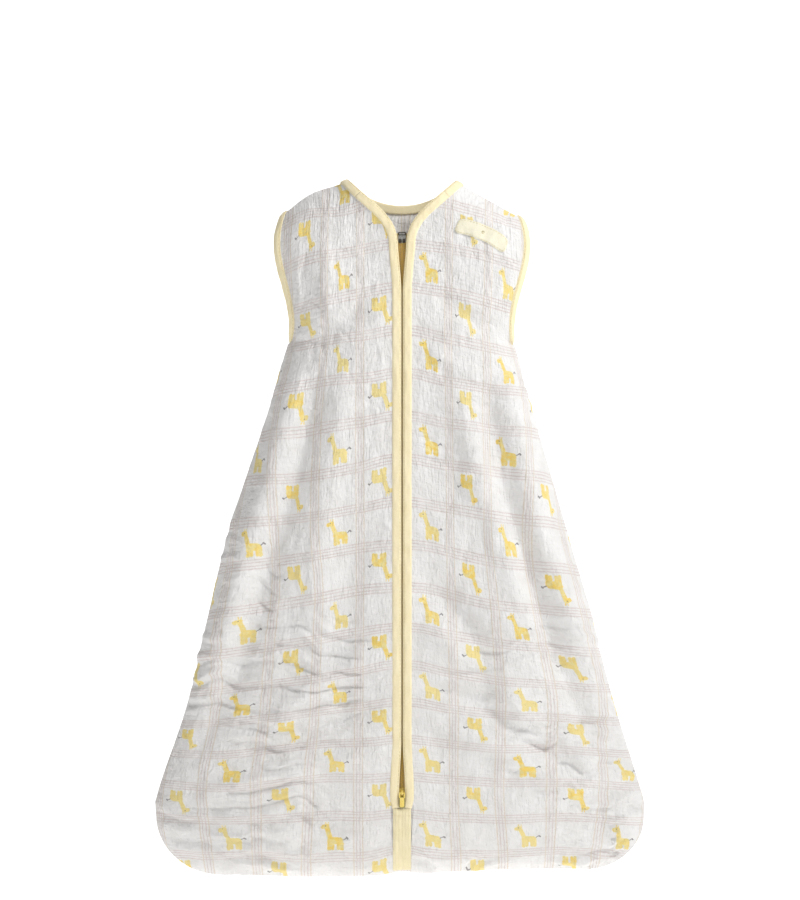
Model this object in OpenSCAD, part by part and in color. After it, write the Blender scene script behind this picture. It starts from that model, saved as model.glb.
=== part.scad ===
// Baby sleeping bag: sleeveless, closed at the foot, opened by an inverted zip down the centre front.
// It is drawn upright, in the shape it takes when worn. X runs across, the front faces -Y, Z is up
// toward the neck, and the origin is the centre of the neck opening, level with the shoulder seams.
// Left and right are the wearer's, so the left side is +X.
// Heights in the functions are measured up from the hem. The fabric and its bindings are shells that
// share one surface: front_y and back_y give it, and an inset moves it inward.

/* [Body] */
// Length from the hem to the shoulder seam beside the neck
body_length = 620; // [580:5:680]
// Width at the hem
hem_width = 430; // [390:5:470]
// Width between the side seams at the bottom of the armholes
chest_width = 198; // [186:2:214]
// How far the front stands ahead of the side seams at the top of the zip
chest_depth = 50; // [44:1:58]
// How far the front stands ahead of the side seams at the bottom of the zip
foot_depth = 30; // [26:1:40]
// How far the back stands behind the side seams
back_depth = 45; // [35:1:52]
// Thickness of the layered muslin
fabric = 2; // [1.5:0.1:2.2]

/* [Openings] */
// Depth of each armhole, from the shoulder seam down to the side seam
armhole_depth = 112; // [100:1:124]
// Width of the neck opening between the shoulder seams, at the middle of the binding
neck_width = 104; // [98:1:110]

/* [Details] */
// Width of the binding on the front edges and the neck
binding_width = 8; // [7:0.5:9]
// Length of the chest label
label_length = 48; // [40:1:52]
// Width of the chest label
label_width = 15; // [12:1:18]
// Width of the tab below the zip
tab_width = 16; // [12:1:20]
// Length of the pull below its cross bar
pull_length = 13.3; // [11:0.1:13.3]

/* [Hidden] */
$fn = 32;

// Outline of the body
shoulder_slope = 0.566;
shoulder_tip_x = 106;
shoulder_roll = 50;
hem_corner = 48;
flare_end_h = 64;
armhole_spread = 0.5;
neck_half = neck_width / 2;
tip_h = body_length - shoulder_slope * (shoulder_tip_x - neck_half);
armpit_h = tip_h - armhole_depth;
back_neck_drop = 20;

// Cross-section of the body: how much of the half-width is flat, and how square the rest is
front_flat = 0.3;
back_flat = 0.5;
section_power = 2.4;
foot_power = 2.2;
roll_power = 2.5;

// Centre front
zip_foot_h = 66;
zip_top_h = body_length - 47;
neck_start_h = body_length - 58;
foot_round = 64;
opening_gap = 2.8;
edge_x = (opening_gap + binding_width) / 2;
zip_tilt = atan((chest_depth - foot_depth) / (zip_top_h - zip_foot_h));
zip_length = (zip_top_h - zip_foot_h) / cos(zip_tilt);

// Line along which each side of the front folds open
fold_foot_x = 10.5;
fold_top_x = 38.7;
fold_foot_h = zip_foot_h + 3;
fold_top_h = body_length - 13.4;

// Shares of the neckline at which the fabric leaves the fold line, and the front binding ends
fold_turn = 0.75;
fold_join = 0.8;

// Clearances: between bodies, and between neighbours on one body
clear = 0.3;
touch = 0.05;

// Zip, in depths behind the outer face of the front fabric
binding_proud = 1;
binding_thick = 3.8;
armhole_binding_width = 7;
armhole_reach = armhole_binding_width / 2 + 2 * clear;
plate_depth = 3.1;
plate_thick = 0.8;
coil_depth = 4.2;
coil_thick = 1.6;
coil_inner_x = 1.25;
coil_outer_x = 3.05;
tape_thick = 0.6;
slider_width = 7.4;
slider_length = 9;
slider_foot = 4.5;
bar_height = 9.5;
bar_depth = -2.2;
bar_radius = 0.6;
bore_radius = 0.68;
bridge_width = 1.6;
bridge_length = 4;
pull_width = 5.5;
box_length = 9.3;

// Trim
tab_thick = 1.2;
label_thick = 0.8;
label_x = 70;
label_drop = 50.5;
label_angle = -22;
seam_width = 6;
seam_thick = 2;
label_corner = 3;

// ---------- Surface of the body ----------

function superellipse(q, n) = pow(1 - pow(min(1, max(0, q)), n), 1 / n);

function mix(a, b, t) = a + (b - a) * t;

function unit(v) = v / norm(v);

// How far a rounded corner of radius r cuts in, at a distance d from its end
function corner_cut(r, d) = d >= r ? 0 : r - sqrt(max(0, r * r - (r - d) * (r - d)));

function half_width(h, inset) =
    let (flare = (hem_width - chest_width) / 2 / (armpit_h - flare_end_h))
    let (side = min(hem_width, chest_width + 2 * flare * (armpit_h - h)) / 2)
    let (chest = chest_width / 2 + armhole_spread * (h - armpit_h))
    (h > armpit_h ? chest : side) - inset - corner_cut(hem_corner - inset, h - inset);

function shoulder_h(x) = body_length - shoulder_slope * (abs(x) - neck_half);

// Shape factor from 0 at a seam to 1 on the flat middle
function fullness(x, h, inset, flat) =
    let (q = (abs(x) / half_width(h, inset) - flat) / (1 - flat))
    let (rise = (h - shoulder_h(x) + shoulder_roll) / (shoulder_roll - inset))
    let (drop = (foot_round - h) / (foot_round - inset))
    superellipse(q, section_power) * superellipse(rise, roll_power) * superellipse(drop, foot_power);

function front_depth(h) = foot_depth + (h - zip_foot_h) * tan(zip_tilt);

function front_y(x, h, inset) =
    -touch / 2 - (front_depth(h) - inset) * fullness(x, h, inset, front_flat);

function back_y(x, h, inset) =
    touch / 2 + (back_depth - inset) * fullness(x, h, inset, back_flat);

function front_point(p, inset) = [p[0], front_y(p[0], p[1], inset), p[1] - body_length];

function back_point(p, inset) = [p[0], back_y(p[0], p[1], inset), p[1] - body_length];

// Outward direction of the surface at a point
function front_normal(p) =
    let (dx = (front_y(p[0] + 1, p[1], 0) - front_y(p[0] - 1, p[1], 0)) / 2)
    let (dh = (front_y(p[0], p[1] + 1, 0) - front_y(p[0], p[1] - 1, 0)) / 2)
    unit([dx, -1, dh]);

function back_normal(p) =
    let (dx = (back_y(p[0] + 1, p[1], 0) - back_y(p[0] - 1, p[1], 0)) / 2)
    let (dh = (back_y(p[0], p[1] + 1, 0) - back_y(p[0], p[1] - 1, 0)) / 2)
    unit([-dx, 1, -dh]);

// ---------- Edges of the panels, as points across and up ----------

function armhole_x(h) =
    let (s = (h - armpit_h) / (tip_h - armpit_h))
    mix(chest_width / 2, shoulder_tip_x, s) + 24 * sin(180 * s) * (s - 0.35);

// Middle of the armhole binding, from the top of the side seam at 0 to the shoulder seam at 1
function armhole_line(v) =
    let (h = mix(armpit_h, tip_h, (1 - cos(180 * v)) / 2))
    [armhole_x(h), h];

// Edge of the fabric beside that binding, on the front or on the back
function armhole_edge(v, inset, back) =
    let (p = armhole_line(v))
    let (low = armhole_line(v - 0.01))
    let (high = armhole_line(v + 0.01))
    let (rise = back ? back_point(high, 0) - back_point(low, 0)
              : front_point(high, 0) - front_point(low, 0))
    let (out = back ? back_normal(p) : front_normal(p))
    let (away = armhole_reach * unit(cross(rise, back ? -out : out)))
    [p[0] - away[0] - inset * out[0], p[1] - away[2] - inset * out[2]];

// Front neckline from the top of the zip to the shoulder seam, at the middle of the binding
function neckline(t) =
    let (a = [edge_x, neck_start_h])
    let (b = [edge_x, neck_start_h + 23])
    let (c = [30, body_length - 25])
    let (d = [neck_half, body_length])
    pow(1 - t, 3) * a + 3 * pow(1 - t, 2) * t * b + 3 * (1 - t) * t * t * c + pow(t, 3) * d;

// The same line moved out to the edge of the fabric
function neckline_edge(t, away) =
    let (along = unit(neckline(min(1, t + 0.01)) - neckline(max(0, t - 0.01))))
    neckline(t) + away * [along[1], -along[0]];

function back_neckline(x) = [x, body_length - back_neck_drop * (1 - pow(x / neck_half, 2))];

function fold_x(h) =
    mix(fold_foot_x, fold_top_x, (h - fold_foot_h) / (fold_top_h - fold_foot_h));

// ---------- Solids ----------

// Closed solid between two grids of points, outer and inner, that have the same rows and columns
module shell(outer, inner, flip = false) {
    rows = len(outer);
    cols = len(outer[0]);
    count = rows * cols;
    points = concat([for (row = outer) each row], [for (row = inner) each row]);
    cells = [for (r = [0:rows - 2], c = [0:cols - 2]) r * cols + c];
    rim = concat(
        [for (c = [0:cols - 1]) c],
        [for (r = [1:rows - 1]) r * cols + cols - 1],
        [for (c = [cols - 2:-1:0]) (rows - 1) * cols + c],
        [for (r = [rows - 2:-1:1]) r * cols]
    );
    n = len(rim);
    faces = concat(
        [for (i = cells) each [[i, i + cols, i + cols + 1], [i, i + cols + 1, i + 1]]],
        [for (i = cells, j = [i + count]) each [[j, j + cols + 1, j + cols], [j, j + 1, j + cols + 1]]],
        [for (k = [0:n - 1], a = [rim[k]], b = [rim[(k + 1) % n]])
            each [[a, b, b + count], [a, b + count, a + count]]]
    );
    polyhedron(points, flip ? [for (f = faces) [f[2], f[1], f[0]]] : faces);
}

// Flat strip with softened edges along a path, with a surface direction at each point of the path
module strip(path, normals, width, proud, thick, closed = false) {
    count = len(path);
    soft = 0.8;
    high = proud;
    low = proud - thick;
    half = width / 2;
    outline = [
        [half, high - soft], [half - soft, high], [soft - half, high], [-half, high - soft],
        [-half, low + soft], [soft - half, low], [half - soft, low], [half, low + soft]
    ];
    sides = len(outline);
    rings = [
        for (i = [0:count - 1])
            let (before = path[closed ? (i + count - 1) % count : max(0, i - 1)])
            let (after = path[closed ? (i + 1) % count : min(count - 1, i + 1)])
            let (along = unit(after - before))
            let (across = unit(cross(along, normals[i])))
            let (up = cross(across, along))
            [for (p = outline) path[i] + p[0] * across + p[1] * up]
    ];
    joins = closed ? count : count - 1;
    walls = [
        for (i = [0:joins - 1], k = [0:sides - 1])
            let (a = i * sides + k)
            let (b = i * sides + (k + 1) % sides)
            let (c = ((i + 1) % count) * sides + k)
            let (d = ((i + 1) % count) * sides + (k + 1) % sides)
            each [[a, b, d], [a, d, c]]
    ];
    ends = closed ? [] : [
        [for (k = [sides - 1:-1:0]) k],
        [for (k = [0:sides - 1]) (count - 1) * sides + k]
    ];
    polyhedron([for (ring = rings) each ring], concat(walls, ends));
}

module right_side() {
    mirror([1, 0, 0]) children();
}

// Frame of the zip: y is the depth behind the outer face of the front, z runs up the zip from its foot
module on_zip() {
    translate([0, -foot_depth - touch / 2, zip_foot_h - body_length]) rotate([zip_tilt, 0, 0]) children();
}

// ---------- Fabric ----------

side_steps = 9;
foot_steps = 7;
skirt_steps = 12;
yoke_steps = 9;
neck_steps = 3;
seam_top_h = armpit_h - armhole_reach;
shoulder_end_x = shoulder_tip_x - armhole_reach;

// Heights of the rows that round the foot, with the first on the hem
function foot_rows(inset) =
    [for (k = [0:foot_steps]) inset + (foot_round - 2 - inset) * (1 - cos(90 * k / foot_steps))];

// Point on the armhole side, from the top of the side seam at 0 to the shoulder seam at 1
function yoke_end(inset, v, back) =
    v == 0 ? [half_width(seam_top_h, inset), seam_top_h]
    : v == 1 ? [shoulder_end_x, shoulder_h(shoulder_end_x) - inset]
    : armhole_edge(v, inset, back);

// Rows of the front panel, each from its inner end to its outer end
function front_rows(inset) =
    let (gap = clear / 2)
    let (yoke = [for (k = [1:yoke_steps]) k / (yoke_steps + neck_steps)])
    let (neck = [for (k = [1:neck_steps]) (yoke_steps + k) / (yoke_steps + neck_steps)])
    let (collar_x = neck_half + binding_width / 2 + clear)
    let (turn_h = neckline_edge(fold_turn, binding_width / 2 + clear)[1])
    let (step_h = zip_foot_h - clear)
    let (skirt = concat([step_h + touch],
                        [for (k = [0:skirt_steps]) mix(fold_foot_h, seam_top_h, k / skirt_steps)]))
    concat(
        [for (h = foot_rows(inset)) [[touch / 2, h], [half_width(h, inset), h]]],
        [[[touch / 2, step_h], [half_width(step_h, inset), step_h]]],
        [for (h = skirt) [[fold_x(h) + gap, h], [half_width(h, inset), h]]],
        [for (v = yoke)
            let (inner_h = mix(seam_top_h, turn_h, v / yoke[yoke_steps - 1]))
            [[fold_x(inner_h) + gap, inner_h], yoke_end(inset, v, false)]],
        [for (k = [0:neck_steps - 1])
            let (t = mix(fold_turn, 1, (k + 1) / neck_steps))
            let (inner = k < neck_steps - 1 ? neckline_edge(t, binding_width / 2 + clear)
                       : [collar_x, shoulder_h(collar_x) - inset])
            [inner, yoke_end(inset, neck[k], false)]]
    );

function front_grid(inset) =
    [for (row = front_rows(inset))
        [for (k = [0:side_steps]) front_point(mix(row[0], row[1], sin(90 * k / side_steps)), inset)]];

module left_front_panel() {
    color("whitesmoke") shell(front_grid(0), front_grid(fabric));
}

module right_front_panel() {
    color("whitesmoke") right_side() shell(front_grid(0), front_grid(fabric));
}

// Rows of the back panel from the centre to one side
function back_row(inset, v) =
    let (outer = yoke_end(inset, v, true))
    let (collar_x = mix(outer[0] * back_flat, neck_half + binding_width / 2 + clear, v))
    let (collar_h = mix(seam_top_h, shoulder_h(neck_half + binding_width / 2 + clear) - inset, v))
    let (centre_h = mix(seam_top_h, body_length - back_neck_drop - binding_width / 2 - clear, v))
    concat(
        [for (k = [0:side_steps])
            let (q = k / side_steps)
            [collar_x * q, mix(centre_h, collar_h, q * q)]],
        [for (k = [1:side_steps])
            mix([collar_x, collar_h], outer, sin(90 * k / side_steps))]
    );

function skirt_row(inset, h) =
    let (w = half_width(h, inset))
    concat(
        [for (k = [0:side_steps]) [w * back_flat * k / side_steps, h]],
        [for (k = [1:side_steps]) [w * mix(back_flat, 1, sin(90 * k / side_steps)), h]]
    );

function both_sides(row) =
    concat([for (k = [len(row) - 1:-1:1]) [-row[k][0], row[k][1]]], row);

function back_grid(inset) =
    let (rows = concat(
        [for (h = foot_rows(inset)) skirt_row(inset, h)],
        [for (k = [0:skirt_steps]) skirt_row(inset, mix(foot_round, seam_top_h, k / skirt_steps))],
        [for (k = [1:yoke_steps + neck_steps]) back_row(inset, k / (yoke_steps + neck_steps))]
    ))
    [for (row = rows) [for (p = both_sides(row)) back_point(p, inset)]];

module back_panel() {
    color("gainsboro") shell(back_grid(0), back_grid(fabric), flip = true);
}

// Part of the front between the binding and the fold line, which swings open
lapel_steps = 3;
lapel_rows = 8;
lapel_end = 0.72;

function lapel_grid(inset) =
    let (away = binding_width / 2 + touch)
    let (straight = [for (h = [zip_foot_h + touch, neck_start_h / 2, neck_start_h]) [edge_x + away, h]])
    let (curve = [for (k = [1:lapel_rows]) neckline_edge(lapel_end * k / lapel_rows, away)])
    [for (p = concat(straight, curve))
        let (fold = [fold_x(p[1]) - clear / 2, p[1]])
        [for (k = [0:lapel_steps]) front_point(mix(p, fold, k / lapel_steps), inset)]];

module left_front_lapel() {
    color("white") shell(lapel_grid(0), lapel_grid(fabric));
}

module right_front_lapel() {
    color("white") right_side() shell(lapel_grid(0), lapel_grid(fabric));
}

// ---------- Bindings, tab and label ----------

front_curve_steps = 12;
neck_curve_steps = 7;
armhole_curve_steps = 16;
neckline_cut = 0.008;

module front_binding() {
    last = fold_join - neckline_cut;
    line = concat(
        [[edge_x, zip_foot_h + touch], [edge_x, neck_start_h / 2]],
        [for (k = [0:front_curve_steps]) neckline(last * k / front_curve_steps)]
    );
    strip([for (p = line) front_point(p, 0)], [for (p = line) front_normal(p)],
          binding_width, binding_proud, binding_thick);
}

module left_front_binding() {
    color("khaki") front_binding();
}

module right_front_binding() {
    color("khaki") right_side() front_binding();
}

module neck_binding() {
    first = fold_join + neckline_cut;
    front = [for (k = [0:neck_curve_steps - 1])
        neckline(1 - (1 - first) * pow(1 - k / neck_curve_steps, 2))];
    back = [for (k = [0:2 * front_curve_steps])
        back_neckline(neck_half * cos(180 * k / (2 * front_curve_steps)))];
    last = len(back) - 1;
    other = [for (k = [neck_curve_steps - 1:-1:0]) [-front[k][0], front[k][1]]];
    path = concat([for (p = front) front_point(p, 0)], [for (p = back) back_point(p, 0)],
                  [for (p = other) front_point(p, 0)]);
    normals = concat([for (p = front) front_normal(p)],
                     [for (k = [0:last]) k == 0 || k == last ? [0, 0, 1] : back_normal(back[k])],
                     [for (p = other) front_normal(p)]);
    color("khaki") strip(path, normals, binding_width, binding_proud, binding_thick);
}

module armhole_binding() {
    line = [for (k = [0:armhole_curve_steps]) armhole_line(k / armhole_curve_steps)];
    inner = [for (k = [armhole_curve_steps - 1:-1:1]) line[k]];
    path = concat([for (p = line) front_point(p, 0)], [for (p = inner) back_point(p, 0)]);
    seam_normals = [[1, 0, 0], [0.3, 0, 1]];
    normals = concat([seam_normals[0]],
                     [for (k = [1:armhole_curve_steps - 1]) front_normal(line[k])],
                     [seam_normals[1]],
                     [for (p = inner) back_normal(p)]);
    strip(path, normals, armhole_binding_width, binding_proud, binding_thick, closed = true);
}

module left_armhole_binding() {
    color("khaki") armhole_binding();
}

module right_armhole_binding() {
    color("khaki") right_side() armhole_binding();
}

// Tab sewn over the foot of the zip, following the front down to the hem
tab_top_h = 61.5;
tab_foot_h = 7;
tab_steps = 12;

module bottom_tab() {
    function side(out) = [for (k = [0:tab_steps])
        let (h = mix(tab_foot_h, tab_top_h, k / tab_steps))
        [front_y(0, h, -out), h - body_length]];
    profile = concat(side(touch), [for (k = [tab_steps:-1:0]) side(touch + tab_thick)[k]]);
    color("palegoldenrod") translate([-tab_width / 2, 0, 0]) rotate([90, 0, 90])
        linear_extrude(tab_width) polygon(profile);
}

label_steps = 10;
label_rows = 4;

function label_grid(out) =
    [for (r = [0:label_rows])
        [for (k = [0:label_steps])
            let (a = label_length / 2 * -cos(180 * k / label_steps))
            let (cut = corner_cut(label_corner, label_length / 2 - abs(a) + 0.2))
            let (b = (label_width / 2 - cut) * (2 * r / label_rows - 1))
            let (p = [label_x + a * cos(label_angle) - b * sin(label_angle),
                      body_length - label_drop + a * sin(label_angle) + b * cos(label_angle)])
            front_point(p, -out)]];

module chest_label() {
    color("lemonchiffon") shell(label_grid(touch + label_thick), label_grid(touch));
}

// ---------- Zip ----------

chain_foot = 3.8;
box_foot = zip_length - box_length;

module zip_tape() {
    outer_x = edge_x + binding_width / 2 - clear;
    level = coil_depth + (coil_thick - tape_thick) / 2;
    under = binding_thick - binding_proud + 2 * touch;
    profile = [
        [coil_outer_x, level], [4.4, level], [7.5, under], [outer_x, under],
        [outer_x, under + tape_thick], [7.7, under + tape_thick],
        [4.6, level + tape_thick], [coil_outer_x, level + tape_thick]
    ];
    on_zip() translate([0, 0, chain_foot]) linear_extrude(zip_length - chain_foot) polygon(profile);
}

module left_zip_tape() {
    color("wheat") zip_tape();
}

module right_zip_tape() {
    color("wheat") right_side() zip_tape();
}

module zip_teeth() {
    on_zip() translate([coil_inner_x, coil_depth, chain_foot])
        cube([coil_outer_x - coil_inner_x - touch, coil_thick, box_foot - chain_foot - touch]);
}

module left_zip_teeth() {
    color("gold") zip_teeth();
}

module right_zip_teeth() {
    color("gold") right_side() zip_teeth();
}

// Box that takes the pin at the neck, with an open side toward the pin
module zip_box() {
    box_inner_x = 0.25;
    box_outer_x = coil_outer_x - touch;
    color("silver") on_zip() translate([box_inner_x, plate_depth, box_foot])
        cube([box_outer_x - box_inner_x, 3.6, box_length]);
}

module insertion_pin() {
    pin_radius = 0.7;
    color("silver") on_zip() translate([-2.3, coil_depth + coil_thick / 2, box_foot])
        cylinder(h = box_length - 1, r = pin_radius);
}

module bottom_stop() {
    stop_foot = -4;
    stop_top = 3.5;
    color("silver") on_zip() translate([-coil_outer_x, fabric + 2 * touch, stop_foot])
        difference() {
            cube([2 * coil_outer_x, 3.8, stop_top - stop_foot]);
            translate([-1, -1, -clear / 2 - stop_foot])
                cube([2 * coil_outer_x + 2, 1 + binding_thick - binding_proud - fabric, stop_top + 1]);
        }
}

// ---------- Slider ----------

module slider_body() {
    half = slider_width / 2;
    low_depth = coil_depth + coil_thick + clear;
    flange_x = coil_outer_x + clear;
    flange_high = coil_depth + (coil_thick - tape_thick) / 2 - clear;
    flange_low = coil_depth + (coil_thick + tape_thick) / 2 + clear;
    post_half = coil_inner_x - clear;
    color("goldenrod") on_zip() difference() {
        union() {
            translate([-half, plate_depth, slider_foot]) cube([slider_width, plate_thick, slider_length]);
            translate([-half, low_depth, slider_foot]) cube([slider_width, plate_thick, slider_length]);
            translate([-post_half, plate_depth, slider_foot + 1])
                cube([2 * post_half, low_depth - plate_depth + plate_thick, 4]);
            for (x = [-half, flange_x]) {
                translate([x, plate_depth, slider_foot])
                    cube([half - flange_x, flange_high - plate_depth, slider_length]);
                translate([x, flange_low, slider_foot])
                    cube([half - flange_x, low_depth - flange_low + plate_thick, slider_length]);
            }
            translate([-bridge_width / 2, bar_depth - 1.4, bar_height - bridge_length / 2])
                cube([bridge_width, plate_depth - bar_depth + 1.8, bridge_length]);
        }
        translate([-bridge_width, bar_depth, bar_height]) rotate([0, 90, 0])
            cylinder(h = 2 * bridge_width, r = bore_radius);
    }
}

module slider_pull() {
    arm_x = bridge_width / 2 + clear;
    arm_length = 3.4;
    corner = 1.6;
    color("gold") on_zip() translate([0, bar_depth, bar_height]) {
        rotate([0, 90, 0]) translate([0, 0, -arm_x - 1]) cylinder(h = 2 * arm_x + 2, r = bar_radius);
        for (x = [-pull_width / 2, arm_x])
            translate([x, -bar_radius, -arm_length - 0.6])
                cube([pull_width / 2 - arm_x, 2 * bar_radius, arm_length + 1.2]);
        rotate([90, 0, 0]) translate([0, 0, -bar_radius]) linear_extrude(2 * bar_radius) union() {
            translate([-pull_width / 2, -pull_length + corner])
                square([pull_width, pull_length - corner - arm_length]);
            for (x = [-1, 1])
                translate([x * (pull_width / 2 - corner), -pull_length + corner]) circle(corner);
            translate([corner - pull_width / 2, -pull_length]) square([pull_width - 2 * corner, corner]);
        }
    }
}

// ---------- Seam allowances inside the bag ----------

seam_steps = 16;
seam_inset = fabric + clear;

module flat_seam(points) {
    color("gray") translate([0, seam_thick / 2, -body_length]) rotate([90, 0, 0])
        linear_extrude(seam_thick) polygon(points);
}

module hem_seam() {
    half = half_width(seam_inset, seam_inset) - 2;
    flat_seam([[-half, seam_inset], [half, seam_inset], [half, seam_inset + seam_width],
               [-half, seam_inset + seam_width]]);
}

function side_line(inset) = [for (k = [0:seam_steps])
    let (h = mix(hem_corner / 2, seam_top_h - 2, k / seam_steps))
    [half_width(h, inset), h]];

module left_side_seam() {
    inner = side_line(seam_inset + seam_width);
    flat_seam(concat(side_line(seam_inset), [for (k = [seam_steps:-1:0]) inner[k]]));
}

module right_side_seam() {
    right_side() left_side_seam();
}

module left_shoulder_seam() {
    ends = [neck_half + binding_width / 2 + 1, shoulder_end_x - 1];
    flat_seam([for (p = [[ends[0], 0], [ends[1], 0], [ends[1], seam_width], [ends[0], seam_width]])
        [p[0], shoulder_h(p[0]) - seam_inset - p[1]]]);
}

module right_shoulder_seam() {
    right_side() left_shoulder_seam();
}

back_panel();
left_front_panel();
right_front_panel();
left_front_lapel();
right_front_lapel();
left_front_binding();
right_front_binding();
neck_binding();
left_armhole_binding();
right_armhole_binding();
bottom_tab();
chest_label();
left_zip_tape();
right_zip_tape();
left_zip_teeth();
right_zip_teeth();
zip_box();
insertion_pin();
bottom_stop();
slider_body();
slider_pull();
hem_seam();
left_side_seam();
right_side_seam();
left_shoulder_seam();
right_shoulder_seam();
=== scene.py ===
"""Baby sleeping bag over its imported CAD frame: printed muslin, bindings, an inverted zip and a label.

Lengths in the functions are in millimetres and heights are measured up from the hem, as in the CAD.
to_frame() turns them into the row frame, in metres.
"""

import math

import bpy
import numpy as np
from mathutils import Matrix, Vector


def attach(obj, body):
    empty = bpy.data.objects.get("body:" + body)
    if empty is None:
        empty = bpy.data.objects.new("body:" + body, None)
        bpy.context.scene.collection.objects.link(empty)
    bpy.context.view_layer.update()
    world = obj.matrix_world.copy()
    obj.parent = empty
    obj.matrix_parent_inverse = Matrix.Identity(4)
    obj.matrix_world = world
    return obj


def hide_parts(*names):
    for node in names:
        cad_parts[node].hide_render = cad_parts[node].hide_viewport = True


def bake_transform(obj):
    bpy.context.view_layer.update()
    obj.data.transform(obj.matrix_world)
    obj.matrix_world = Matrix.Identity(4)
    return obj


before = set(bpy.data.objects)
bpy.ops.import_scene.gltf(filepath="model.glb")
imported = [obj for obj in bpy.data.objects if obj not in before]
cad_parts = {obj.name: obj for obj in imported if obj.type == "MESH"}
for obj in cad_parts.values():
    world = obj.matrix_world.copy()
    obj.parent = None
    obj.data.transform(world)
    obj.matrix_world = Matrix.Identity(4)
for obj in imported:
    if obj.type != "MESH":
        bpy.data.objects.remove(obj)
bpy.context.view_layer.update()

MM = 0.001

# ---------------------------------------------------------------- size of the bag, as in the CAD

LENGTH = 620.0
HEM_WIDTH = 430.0
CHEST_WIDTH = 198.0
CHEST_DEPTH = 50.0
FOOT_DEPTH = 30.0
BACK_DEPTH = 45.0
NECK_HALF = 52.0
ARMHOLE_DEPTH = 112.0
SHOULDER_SLOPE = 0.566
SHOULDER_TIP_X = 106.0
SHOULDER_ROLL = 50.0
HEM_CORNER = 48.0
FLARE_END = 64.0
ARMHOLE_SPREAD = 0.5
BACK_NECK_DROP = 20.0
FRONT_FLAT = 0.3
BACK_FLAT = 0.5
TIP_H = LENGTH - SHOULDER_SLOPE * (SHOULDER_TIP_X - NECK_HALF)
ARMPIT_H = TIP_H - ARMHOLE_DEPTH
YOKE_H = ARMPIT_H - 2.0
ZIP_FOOT = 66.0
ZIP_TOP = LENGTH - 47.0
NECK_START = LENGTH - 58.0
FOOT_ROUND = 64.0
ZIP_TILT = math.atan((CHEST_DEPTH - FOOT_DEPTH) / (ZIP_TOP - ZIP_FOOT))
BINDING = 8.0
EDGE_X = 5.4
ARMHOLE_BINDING = 7.0
TAB_WIDTH = 16.0
TAB_TOP = 61.5
TAB_FOOT = 4.0

# The line along which each side of the front folds open, and the width of the bend
FOLD_FOOT = (10.5, 69.0)
FOLD_TOP = (38.7, 606.6)
BEND_WIDTH = 4.0


def superellipse(q, power):
    return (1 - np.clip(q, 0, 1) ** power) ** (1 / power)


def corner_cut(radius, distance):
    inside = np.clip(radius - distance, 0, radius)
    return radius - np.sqrt(np.maximum(0, radius**2 - inside**2))


def smooth(x, low, high):
    t = np.clip((x - low) / (high - low), 0, 1)
    return t * t * (3 - 2 * t)


def half_width(h):
    flare = (HEM_WIDTH - CHEST_WIDTH) / 2 / (ARMPIT_H - FLARE_END)
    side = np.minimum(HEM_WIDTH, CHEST_WIDTH + 2 * flare * (ARMPIT_H - h)) / 2
    chest = CHEST_WIDTH / 2 + ARMHOLE_SPREAD * (h - ARMPIT_H)
    return np.where(h > ARMPIT_H, chest, side) - corner_cut(HEM_CORNER, h)


def shoulder_h(x):
    return LENGTH - SHOULDER_SLOPE * (np.abs(x) - NECK_HALF)


def fullness(x, h, flat):
    q = (np.abs(x) / half_width(h) - flat) / (1 - flat)
    rise = (h - shoulder_h(x) + SHOULDER_ROLL) / SHOULDER_ROLL
    drop = (FOOT_ROUND - h) / FOOT_ROUND
    return superellipse(q, 2.4) * superellipse(rise, 2.5) * superellipse(drop, 2.2)


def front_y(x, h):
    depth = FOOT_DEPTH + (h - ZIP_FOOT) * math.tan(ZIP_TILT)
    return -depth * fullness(x, h, FRONT_FLAT)


def back_y(x, h):
    return BACK_DEPTH * fullness(x, h, BACK_FLAT)


def armhole_x(h):
    s = (h - ARMPIT_H) / (TIP_H - ARMPIT_H)
    line = CHEST_WIDTH / 2 + (SHOULDER_TIP_X - CHEST_WIDTH / 2) * s
    return line + 24 * np.sin(np.pi * s) * (s - 0.35)


def fold_x(h):
    """The fold line, which runs on straight below its foot and stops at its top."""
    lean = (FOLD_TOP[0] - FOLD_FOOT[0]) / (FOLD_TOP[1] - FOLD_FOOT[1])
    return FOLD_FOOT[0] + (np.minimum(h, FOLD_TOP[1]) - FOLD_FOOT[1]) * lean


def neckline(t):
    """Middle of the binding from the top of the zip, t = 0, to the shoulder seam, t = 1."""
    t = np.asarray(t, float)[..., None]
    a, b = np.array((EDGE_X, NECK_START)), np.array((EDGE_X, NECK_START + 23))
    c, d = np.array((30.0, LENGTH - 25)), np.array((NECK_HALF, LENGTH))
    return (1 - t) ** 3 * a + 3 * (1 - t) ** 2 * t * b + 3 * (1 - t) * t**2 * c + t**3 * d


def to_frame(points):
    """Points of the bag in the row frame, hanging a little out of line as worn cloth does."""
    points = np.asarray(points, float).copy()
    x, h = points[..., 0].copy(), points[..., 2].copy()
    part = np.clip(x / half_width(np.clip(h, 20, LENGTH)), -1, 1)
    sway = np.where(x < 0, -9.0, 2.0) * np.exp(-(((h - 300) / 120) ** 2)) * part**2
    sway = sway + np.where(x < 0, -7.0, 3.0) * np.exp(-(((h - 70) / 60) ** 2)) * part**2
    shoulder = 8.0 * np.exp(-(((x + 84) / 24) ** 2)) * smooth(h, 500, 590)
    hem = 3.5 * smooth(x, -20, 140) - 3.5 * np.exp(-(((x + 75) / 80) ** 2)) + 2.5 * np.exp(-((x / 14) ** 2))
    points[..., 0] = x + sway
    points[..., 2] = h - LENGTH + shoulder + hem * (1 - smooth(h, 0, 62))
    return points * MM


# ---------------------------------------------------------------- noise, folds and crinkle


def lattice(ix, iy, seed):
    """A fixed pseudo-random number from 0 to 1 for each whole-numbered point."""
    n = np.sin(ix * 127.1 + iy * 311.7 + seed * 74.7) * 43758.5453
    return n - np.floor(n)


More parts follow.
